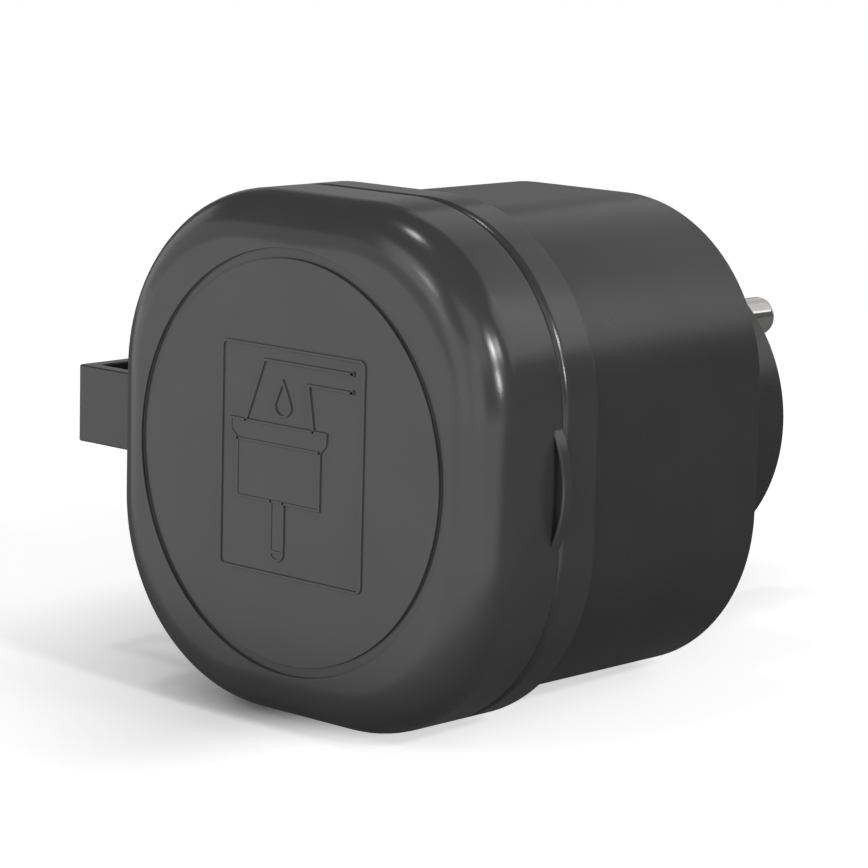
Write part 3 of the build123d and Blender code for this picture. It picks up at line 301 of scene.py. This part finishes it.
def skin_rings(shape, rings, looped=False):
    """Join rings of equal length with faces; the two ends are capped, or joined if looped."""
    rows = [[shape.verts.new(p * MM) for p in ring] for ring in rings]
    pairs = list(zip(rows, rows[1:]))
    if looped:
        pairs.append((rows[-1], rows[0]))
    for one, two in pairs:
        for k in range(len(one)):
            n = (k + 1) % len(one)
            shape.faces.new((one[k], one[n], two[n], two[k]))
    if not looped:
        shape.faces.new(rows[0])
        shape.faces.new(rows[-1])


def new_piece(name, shape, slot, body=None, replaced=()):
    """Object from a finished bmesh, smooth except at real edges."""
    bmesh.ops.recalc_face_normals(shape, faces=shape.faces)
    for face in shape.faces:
        face.smooth = True
    for edge in shape.edges:
        edge.smooth = edge.calc_face_angle(0) < SHARP
    mesh = bpy.data.meshes.new(name)
    shape.to_mesh(mesh)
    shape.free()
    made = bpy.data.objects.new(name, mesh)
    bpy.context.scene.collection.objects.link(made)
    mesh.materials.append(MATERIALS[slot])
    if body:
        weighted = made.modifiers.new("weighted", "WEIGHTED_NORMAL")
        weighted.keep_sharp = True
        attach(made, body)
    if replaced:
        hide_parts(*replaced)
    return made


# ---------------------------------------------------------------- lid cover

LID_HALF = high("lid_shell").z
LID_CORNER = 22.35
LID_FILLET = 5.4
LID_FRONT = 65.1
LID_REAR = 53.2
REAR_FILLET = 0.4
WALL = 2.0
GROOVE_OUTER = 23.84
GROOVE_INNER = 22.69
GROOVE_DEPTH = 0.4
GROOVE_EDGE = 0.03


def lid_ring(inset, height):
    """Ring round the lid's outline, drawn in by an inset."""
    return rounded_square(LID_HALF, LID_CORNER, height, inset)


def lid_cover():
    """Shell of the lid, with the ring groove and a wide front fillet."""
    shape = bmesh.new()
    guide = lid_ring(LID_FILLET, LID_FRONT)
    floor = LID_FRONT - GROOVE_DEPTH
    brim = LID_FRONT - GROOVE_EDGE
    circles = (
        (GROOVE_INNER - GROOVE_EDGE, LID_FRONT), (GROOVE_INNER, brim),
        (GROOVE_INNER, floor + GROOVE_EDGE), (GROOVE_INNER + GROOVE_EDGE, floor),
        (GROOVE_OUTER - GROOVE_EDGE, floor), (GROOVE_OUTER, floor + GROOVE_EDGE),
        (GROOVE_OUTER, brim), (GROOVE_OUTER + GROOVE_EDGE, LID_FRONT),
    )
    rings = [circle_like(guide, radius, height) for radius, height in circles]
    centre = LID_FRONT - LID_FILLET
    arc = [math.pi / 2 * k / ARC_STEPS for k in range(ARC_STEPS + 1)]
    for a in arc:
        rings.append(lid_ring(LID_FILLET * (1 - math.sin(a)), centre + LID_FILLET * math.cos(a)))
    for a in arc[::3] + arc[-1:]:
        inset = REAR_FILLET * (1 - math.cos(a))
        rings.append(lid_ring(inset, LID_REAR + REAR_FILLET * (1 - math.sin(a))))
    inner = LID_FILLET - WALL
    rings.append(lid_ring(WALL, LID_REAR))
    for a in arc[::-2]:
        rings.append(lid_ring(LID_FILLET - inner * math.sin(a), centre + inner * math.cos(a)))
    skin_rings(shape, rings)
    emboss_symbol(shape)
    pull_lip(shape)
    return new_piece("lid_cover", shape, "soft_black", "lid", ("lid_shell",))


# Symbol lines (X, Z): card frame, cable, grip, collar, body, pin and water drop
LINE_WIDTH = 0.34
LINE_HEIGHT = 0.2
LINE_EDGE = 0.04
LINE_ROOT = 0.3
PLATEAU = 0.09
CARD = (-10.45, 11.5, 12.7, 0.63)
CABLE_TOP = 11.2
CABLE_BOTTOM = 9.15
CABLE_END = 9.75
CABLE_DOT = 0.3
RIM = [(-7.85, 1.9), (-8.95, 2.85), (-8.95, 4.1), (5.9, 4.1), (5.9, 2.85), (5.0, 1.9)]
BLOCK = [(-7.85, 1.9), (-7.85, -4.5), (5.0, -4.5), (5.0, 1.9)]
GRIP = [(CABLE_END, CABLE_TOP), (-3.8, CABLE_TOP), (-6.6, 4.1)]
GRIP_RIGHT = [(CABLE_END, CABLE_BOTTOM), (3.1, CABLE_BOTTOM), (3.95, 4.1)]
PRONG_LEFT = -2.4
PRONG_RIGHT = -0.5
PRONG_END = -10.15
PRONG_FOOT = -4.5
DROP = (-0.9, 6.4, 1.25, 2.6)
DROP_STEPS = 12
DROP_FULLNESS = 0.35
DROP_DRAW = 1.15


def ridge(shape, path, closed=False):
    """Raised line with bevelled shoulders along a path on the lid's front."""
    half = LINE_WIDTH / 2
    shoulder = LINE_HEIGHT - LINE_EDGE
    profile = (
        (half, -LINE_ROOT), (half, shoulder), (half - LINE_EDGE, LINE_HEIGHT),
        (LINE_EDGE - half, LINE_HEIGHT), (-half, shoulder), (-half, -LINE_ROOT),
    )
    points = [Vector(p) for p in path]
    steps = [(b - a).normalized() for a, b in zip(points, points[1:] + points[:1])]
    if not closed:
        points[0] = points[0] - steps[0] * half
        points[-1] = points[-1] + steps[-2] * half
        steps[-1] = steps[-2]
    rings = []
    for k, point in enumerate(points):
        before = steps[k - 1] if closed or k else steps[0]
        sides = [Vector((-d.y, d.x)) for d in (before, steps[k])]
        mitre = (sides[0] + sides[1]) / (1 + sides[0].dot(sides[1]))
        rings.append([
            at(point.x + mitre.x * u, LID_FRONT + v, point.y + mitre.y * u) for u, v in profile
        ])
    skin_rings(shape, rings, looped=closed)


def plateau(shape, outline, height):
    """Low raised area inside an outline on the lid's front."""
    skin_rings(shape, [[at(x, LID_FRONT + v, z) for x, z in outline] for v in (-LINE_ROOT, height)])


def arc_points(x, z, radius, start, end, steps):
    """Points on an arc, angles in degrees from +X towards +Z."""
    turns = [math.radians(start + (end - start) * k / steps) for k in range(steps + 1)]
    return [(x + radius * math.cos(a), z + radius * math.sin(a)) for a in turns]


def drop_points():
    """Closed outline of the water drop: a round bowl below two flanks that lean into one tip."""
    x, z, radius, tip = DROP
    flank = []
    for k in range(1, DROP_STEPS):
        t = k / DROP_STEPS
        flank.append((radius * (1 - t) * (1 + DROP_FULLNESS * t), z + tip * t ** DROP_DRAW))
    bowl = arc_points(x, z, radius, -180, 0, 2 * DROP_STEPS)
    right = [(x + reach, level) for reach, level in flank]
    left = [(x - reach, level) for reach, level in reversed(flank)]
    return bowl + right + [(x, z + tip)] + left


def emboss_symbol(shape):
    """Raised outlines on the lid's front."""
    left, right, top, corner = CARD
    frame_line = []
    for x, z, start in ((right, top, 0), (left, top, 90), (left, -top, 180), (right, -top, 270)):
        x -= math.copysign(corner, x)
        z -= math.copysign(corner, z)
        frame_line += arc_points(x, z, corner, start, start + 90, 6)
    ridge(shape, frame_line, closed=True)
    middle = (PRONG_LEFT + PRONG_RIGHT) / 2
    reach = (PRONG_RIGHT - PRONG_LEFT) / 2
    tip = arc_points(middle, PRONG_END, reach, -180, 0, 16)
    prong = [(PRONG_LEFT, PRONG_FOOT)] + tip + [(PRONG_RIGHT, PRONG_FOOT)]
    for outline in (RIM, BLOCK, prong):
        plateau(shape, outline, PLATEAU)
    seam = [(PRONG_LEFT + LINE_WIDTH, PRONG_END), (PRONG_RIGHT - LINE_WIDTH, PRONG_END)]
    for path in (GRIP, GRIP_RIGHT, BLOCK, prong, seam):
        ridge(shape, path)
    for path in (RIM, drop_points()):
        ridge(shape, path, closed=True)
    for z in (CABLE_TOP, CABLE_BOTTOM):
        dot = (
            (CABLE_DOT, -LINE_ROOT), (CABLE_DOT, LINE_HEIGHT - LINE_EDGE),
            (CABLE_DOT - LINE_EDGE, LINE_HEIGHT),
        )
        rows = []
        for radius, lift in dot:
            circle = arc_points(CABLE_END, z, radius, 0, 345, 23)
            rows.append([at(x, LID_FRONT + lift, y) for x, y in circle])
        skin_rings(shape, rows)


LIP_BULGE = 1.65
LIP_HALF_LENGTH = 6.6
LIP_THICKNESS = 1.5
LIP_EDGE = 0.16
LIP_RIM = 0.32
LIP_TROUGH = 0.9
LIP_STEPS = 40


def pull_lip(shape):
    """Crescent ledge at the lid's rear edge, with broken edges and a trough behind its rim."""
    radius = (LIP_HALF_LENGTH ** 2 + LIP_BULGE ** 2) / (2 * LIP_BULGE)
    centre = LID_HALF + LIP_BULGE - radius
    reach = math.acos((LID_HALF - WALL / 2 - centre) / radius)
    levels = (
        (LIP_EDGE, 0), (0, LIP_EDGE), (0, LIP_THICKNESS - LIP_EDGE), (LIP_EDGE, LIP_THICKNESS),
        (LIP_RIM, LIP_THICKNESS), (LIP_RIM + LIP_EDGE, LIP_THICKNESS - LIP_TROUGH),
    )
    turns = [reach * (2 * k / LIP_STEPS - 1) for k in range(LIP_STEPS + 1)]
    rings = []
    for inset, lift in levels:
        edge = radius - inset
        rings.append([
            at(centre + edge * math.cos(a), LID_REAR + lift, edge * math.sin(a)) for a in turns
        ])
    skin_rings(shape, rings)


lid_cover()


# ---------------------------------------------------------------- collar ring

COLLAR_FRONT = 53.0
COLLAR_REAR = 47.4
COLLAR_FRONT_FILLET = 1.2
COLLAR_REAR_FILLET = 0.25
OPENING = (26.2, 17.9)
LIP_OPENING = (24.6, 13.5)
LIP_FRONT = 49.0
INNER_EDGE = 0.2


def collar_ring():
    """Soft ring round the front rim of the body, stepped inside to hold the housing's flange."""
    shape = bmesh.new()
    rings = [
        rounded_square(*OPENING, COLLAR_FRONT - INNER_EDGE),
        rounded_square(*OPENING, COLLAR_FRONT, -INNER_EDGE),
    ]
    arc = [math.pi / 2 * k / ARC_STEPS for k in range(ARC_STEPS + 1)]
    front = COLLAR_FRONT_FILLET
    for a in arc:
        inset = front * (1 - math.sin(a))
        rings.append(lid_ring(inset, COLLAR_FRONT - front * (1 - math.cos(a))))
    rear = COLLAR_REAR_FILLET
    for a in arc[::2]:
        inset = rear * (1 - math.cos(a))
        rings.append(lid_ring(inset, COLLAR_REAR + rear * (1 - math.sin(a))))
    rings.append(rounded_square(*LIP_OPENING, COLLAR_REAR))
    rings.append(rounded_square(*LIP_OPENING, LIP_FRONT))
    rings.append(rounded_square(*OPENING, LIP_FRONT))
    skin_rings(shape, rings, looped=True)
    return new_piece("collar_ring", shape, "soft_black", "housing", ("collar",))


collar_ring()


# ---------------------------------------------------------------- hinge strap
# One soft band on the real object; in two halves here, each with its own fold.

STRAP_X = low("strap_web").x
STRAP_HALF_WIDTH = high("strap_web").z
STRAP_WALL = 1.85
STRAP_FRONT = 55.6
STRAP_MIDDLE = 51.5
LEG_ROOT = -28.5
LEG_BEND = -42.6
FOLD_ROUND = 0.3
FOLD_LENGTH = 3.0
FOLD_STEPS = 32
STRAP_EDGE = 0.15
LEG_STEPS = 10
BEND_STEPS = 8


def bent_line(start, corner, end):
    """Evenly spaced points along two runs joined by an arc at their right-angled corner."""
    start, corner, end = (Vector(p) for p in (start, corner, end))
    back = (start - corner).normalized()
    on = (end - corner).normalized()
    centre = corner + FOLD_ROUND * (back + on)
    line = [start]
    for k in range(BEND_STEPS + 1):
        a = math.pi / 2 * k / BEND_STEPS
        line.append(centre - FOLD_ROUND * (on * math.cos(a) + back * math.sin(a)))
    line.append(end)
    spans = [(b - a).length for a, b in zip(line, line[1:])]
    made = []
    for k in range(FOLD_STEPS + 1):
        left = sum(spans) * k / FOLD_STEPS
        for a, b, length in zip(line, line[1:], spans):
            if left <= length + 1e-9:
                made.append(a.lerp(b, min(1.0, left / length)))
                break
            left -= length
    return made


def strap_section(out, into):
    """Eight-sided section of the strap between its outer and inner face, with broken edges."""
    edge = (into - out).normalized() * STRAP_EDGE
    wide = STRAP_HALF_WIDTH
    loop = (
        (out, wide - STRAP_EDGE), (out + edge, wide),
        (into - edge, wide), (into, wide - STRAP_EDGE),
        (into, STRAP_EDGE - wide), (into - edge, -wide),
        (out + edge, -wide), (out, STRAP_EDGE - wide),
    )
    return [at(p.x, p.y, z) for p, z in loop]


def strap_half(name, outer, inward, bodies, start, end, replaced=()):
    """Leg, fold and half of the web."""
    inner = outer + inward * STRAP_WALL
    web_end = outer + inward * FOLD_LENGTH
    inside_x = STRAP_X + STRAP_WALL
    sections = []
    for k in range(LEG_STEPS):
        x = LEG_ROOT + (LEG_BEND - LEG_ROOT) * k / LEG_STEPS
        sections.append((Vector((x, outer)), Vector((x, inner))))
    outside = bent_line((LEG_BEND, outer), (STRAP_X, outer), (STRAP_X, web_end))
    inside = bent_line((LEG_BEND, inner), (inside_x, inner), (inside_x, web_end))
    sections += list(zip(outside, inside))
    sections.append((Vector((STRAP_X, STRAP_MIDDLE)), Vector((inside_x, STRAP_MIDDLE))))
    shape = bmesh.new()
    skin_rings(shape, [strap_section(out, into) for out, into in sections])
    made = new_piece(name, shape, "soft_black")
    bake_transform(made)
    if replaced:
        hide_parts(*replaced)
    return made


# Start and end (X, height) either side of each crease
FRONT_CREASE = ((-44.5, 52.3), (-42.4, 55.6))
REAR_CREASE = ((-42.4, 47.4), (-44.5, 50.7))

strap_half("strap_front_half", STRAP_FRONT, -1, ("strap", "lid"), *FRONT_CREASE, ("strap_web",))
strap_half("strap_rear_half", COLLAR_REAR, 1, ("housing", "strap"), *REAR_CREASE)


# ---------------------------------------------------------------- floor, world and lights

REAR_EDGE_BODY = Vector((0, high("rear_housing").y, low("rear_housing").z))
REAR_EDGE_COLLAR = Vector((0, high("collar").y, low("collar").z))
FLOOR_GAP = 0.02
FLOOR_HALF = 3.0
FLOOR_GLOW_SEEN = 0.60
FLOOR_SEEN = 0.80
FLOOR_GLOW = 0.02
FLOOR_GLOW_FRONT = 1.04
FLOOR_DULL = 0.20
FRONT_START = -0.06
FRONT_FULL = -0.12
WHITE_START = 0.10
WHITE_FULL = 0.30
CONTACT_REACH = 0.04
CONTACT_DEPTH = 1.7
CONTACT_SAMPLES = 12
CONTACT_EDGE = 0.012
ROOM_SEEN = 1.0
ROOM_LIGHT = 0.11
WHITE = (1, 1, 1, 1)


def smooth_step(tree, source, output, **values):
    """Smooth step of one output between two limits."""
    node = add_node(tree, "ShaderNodeMapRange", **values)
    node.interpolation_type = "SMOOTHSTEP"
    link(tree, source, output, node, "Value")
    return node


def arithmetic(tree, operation, value, amount):
    """Output of a maths node fed by another output and a fixed number."""
    node = tree.nodes.new("ShaderNodeMath")
    node.operation = operation
    node.inputs[1].default_value = amount
    tree.links.new(value, node.inputs[0])
    return node.outputs["Value"]


def added(tree, glow, albedo):
    """Pale surface that glows a little, so that the shadows on it stay soft."""
    light = add_node(tree, "ShaderNodeEmission", Color=WHITE)
    tree.links.new(glow, light.inputs["Strength"])
    matt = add_node(tree, "ShaderNodeBsdfDiffuse", Color=(albedo, albedo, albedo, 1))
    both = tree.nodes.new("ShaderNodeAddShader")
    tree.links.new(light.outputs[0], both.inputs[0])
    tree.links.new(matt.outputs[0], both.inputs[1])
    return both.outputs[0]


def by_factor(tree, factor, first, second):
    """Mix of two shader outputs."""
    mix = tree.nodes.new("ShaderNodeMixShader")
    tree.links.new(factor, mix.inputs[0])
    tree.links.new(first, mix.inputs[1])
    tree.links.new(second, mix.inputs[2])
    return mix.outputs[0]


def seen_by_camera(tree):
    """1 for rays that come straight from the camera, else 0."""
    return tree.nodes.new("ShaderNodeLightPath").outputs["Is Camera Ray"]


def painted_contact_shadow(tree, split):
    """Glow of the table top near the object, with a painted shadow darkening it where the lid's left
    side closes over it.
    """
    # Painted shadow: ambient occlusion darkens the floor's glow on the object's left side
    hollow = add_node(tree, "ShaderNodeAmbientOcclusion", Distance=CONTACT_REACH)
    hollow.samples = CONTACT_SAMPLES
    deep = arithmetic(tree, "POWER", hollow.outputs["AO"], CONTACT_DEPTH)
    left = smooth_step(tree, split, "X", From_Min=CONTACT_EDGE, From_Max=-CONTACT_EDGE)
    shade = mixed(tree, "FLOAT", left.outputs["Result"], 1.0, deep)
    return arithmetic(tree, "MULTIPLY", shade, FLOOR_GLOW_SEEN)


def floor_material():
    """White table top: a painted contact shadow near the object, pure white further off, and dull in
    reflections except for a glowing part in front.
    """
    made = bpy.data.materials.new("floor_white")
    made.use_nodes = True
    tree = made.node_tree
    tree.nodes.clear()
    output = tree.nodes.new("ShaderNodeOutputMaterial")
    place = tree.nodes.new("ShaderNodeTexCoord")
    split = tree.nodes.new("ShaderNodeSeparateXYZ")
    link(tree, place, "Object", split, "Vector")
    near = added(tree, painted_contact_shadow(tree, split), FLOOR_SEEN)
    far = add_node(tree, "ShaderNodeEmission", Color=WHITE, Strength=1.0)
    reach = tree.nodes.new("ShaderNodeVectorMath")
    reach.operation = "LENGTH"
    link(tree, place, "Object", reach, 0)
    fade = smooth_step(tree, reach, "Value", From_Min=WHITE_START, From_Max=WHITE_FULL)
    seen = by_factor(tree, fade.outputs["Result"], near, far.outputs[0])
    # Painted light: for rays other than the camera's, the floor in front of the object glows, lighting
    # the lid's front and underside and showing in their reflections
    front = smooth_step(
        tree, split, "Y", From_Min=FRONT_START, From_Max=FRONT_FULL,
        To_Min=FLOOR_GLOW, To_Max=FLOOR_GLOW_FRONT,
    )
    unseen = added(tree, front.outputs["Result"], FLOOR_DULL)
    surface = by_factor(tree, seen_by_camera(tree), unseen, seen)
    tree.links.new(surface, output.inputs["Surface"])
    return made


def make_floor():
    """Table top under the object, which leans back on its collar and its rear edge."""
    along = (REAR_EDGE_BODY - REAR_EDGE_COLLAR).normalized()
    across = Vector((1, 0, 0))
    up = across.cross(along)
    centre = (REAR_EDGE_COLLAR - FLOOR_GAP * up) * MM
    turns = ((-1, -1), (1, -1), (1, 1), (-1, 1))
    corners = [centre + FLOOR_HALF * (a * across + b * along) for a, b in turns]
    mesh = bpy.data.meshes.new("floor")
    mesh.from_pydata([tuple(c) for c in corners], [], [(0, 1, 2, 3)])
    floor = bpy.data.objects.new("floor", mesh)
    bpy.context.scene.collection.objects.link(floor)
    mesh.materials.append(floor_material())


def make_world():
    """White room for the camera, and a dim even light for everything else."""
    world = bpy.data.worlds.new("studio")
    bpy.context.scene.world = world
    world.use_nodes = True
    tree = world.node_tree
    back = tree.nodes["Background"]
    back.inputs["Color"].default_value = WHITE
    back.inputs["Strength"].default_value = ROOM_SEEN
    room = add_node(tree, "ShaderNodeBackground", Color=WHITE, Strength=ROOM_LIGHT)
    surface = by_factor(tree, seen_by_camera(tree), room.outputs[0], back.outputs[0])
    tree.links.new(surface, tree.nodes["World Output"].inputs["Surface"])


make_floor()
make_world()


LAMP_DISTANCE = 1.0
LAMP_TARGET = Vector((0, -0.035, 0))
PANEL = 0.5
BOX = 0.10

# Name, azimuth from the lid's side towards +X, elevation, width in metres and power in watts
LAMPS = (
    ("front", 0, 8, PANEL, 0.95),
    ("front_right", 30, 8, PANEL, 0.9),
    ("front_left", -30, 8, PANEL, 0.35),
    ("left_low", -60, 8, PANEL, 0.45),
    ("front_high", -15, 32, PANEL, 1.15),
    ("front_right_high", 45, 32, PANEL, 0.85),
    ("back_right", 135, 32, PANEL, 1.0),
    ("back", 165, 32, PANEL, 0.45),
    ("back_left", 200, 32, PANEL, 0.35),
    ("back_left_low", 223, 10, PANEL, 0.15),
    ("back_low", 180, 6, PANEL, 0.5),
    ("left", 270, 12, PANEL, 0.5),
    ("streak_right_low", 80, 15, BOX, 1.6),
    ("streak_right", 80, 30, BOX, 2.3),
    ("streak_side", 95, 30, BOX, 0.8),
    ("streak_front", -7, 33, BOX, 0.35),
    ("streak_top", -60, 79, BOX, 0.9),
)


def lamp(name, azimuth, elevation, width, power):
    """Square soft lamp that faces the object."""
    data = bpy.data.lights.new(name, "AREA")
    data.size = width
    data.energy = power
    made = bpy.data.objects.new(name, data)
    bpy.context.scene.collection.objects.link(made)
    turn, tilt = math.radians(azimuth), math.radians(elevation)
    level = math.cos(tilt)
    away = Vector((math.sin(turn) * level, -math.cos(turn) * level, math.sin(tilt)))
    made.location = LAMP_TARGET + away * LAMP_DISTANCE
    made.rotation_euler = away.to_track_quat("Z", "Y").to_euler()


for row in LAMPS:
    lamp(*row)


# ---------------------------------------------------------------- camera

CAMERA_PLACE = Vector((0.273221, -0.336368, 0.070092))
CAMERA_AZIMUTH = math.radians(42.823)
CAMERA_ELEVATION = math.radians(9.78)
CAMERA_ROLL = math.radians(1.487)
CAMERA_LENS = 147.49
SENSOR = 36.0
CLIP_START = 0.01


def make_camera():
    """Camera at the photograph's viewing angle."""
    data = bpy.data.cameras.new("camera")
    data.lens = CAMERA_LENS
    data.sensor_width = SENSOR
    data.clip_start = CLIP_START
    camera = bpy.data.objects.new("camera", data)
    bpy.context.scene.collection.objects.link(camera)
    level = math.cos(CAMERA_ELEVATION)
    right = Vector((math.cos(CAMERA_AZIMUTH), math.sin(CAMERA_AZIMUTH), 0))
    ahead = Vector((right.y, -right.x, 0))
    back = ahead * level + Vector((0, 0, math.sin(CAMERA_ELEVATION)))
    up = back.cross(right)
    rolled_right = right * math.cos(CAMERA_ROLL) + up * math.sin(CAMERA_ROLL)
    rolled_up = up * math.cos(CAMERA_ROLL) - right * math.sin(CAMERA_ROLL)
    turn = Matrix((rolled_right, rolled_up, back)).transposed()
    camera.matrix_world = Matrix.Translation(CAMERA_PLACE) @ turn.to_4x4()
    bpy.context.scene.camera = camera


make_camera()
bpy.context.scene.view_settings.view_transform = "Standard"
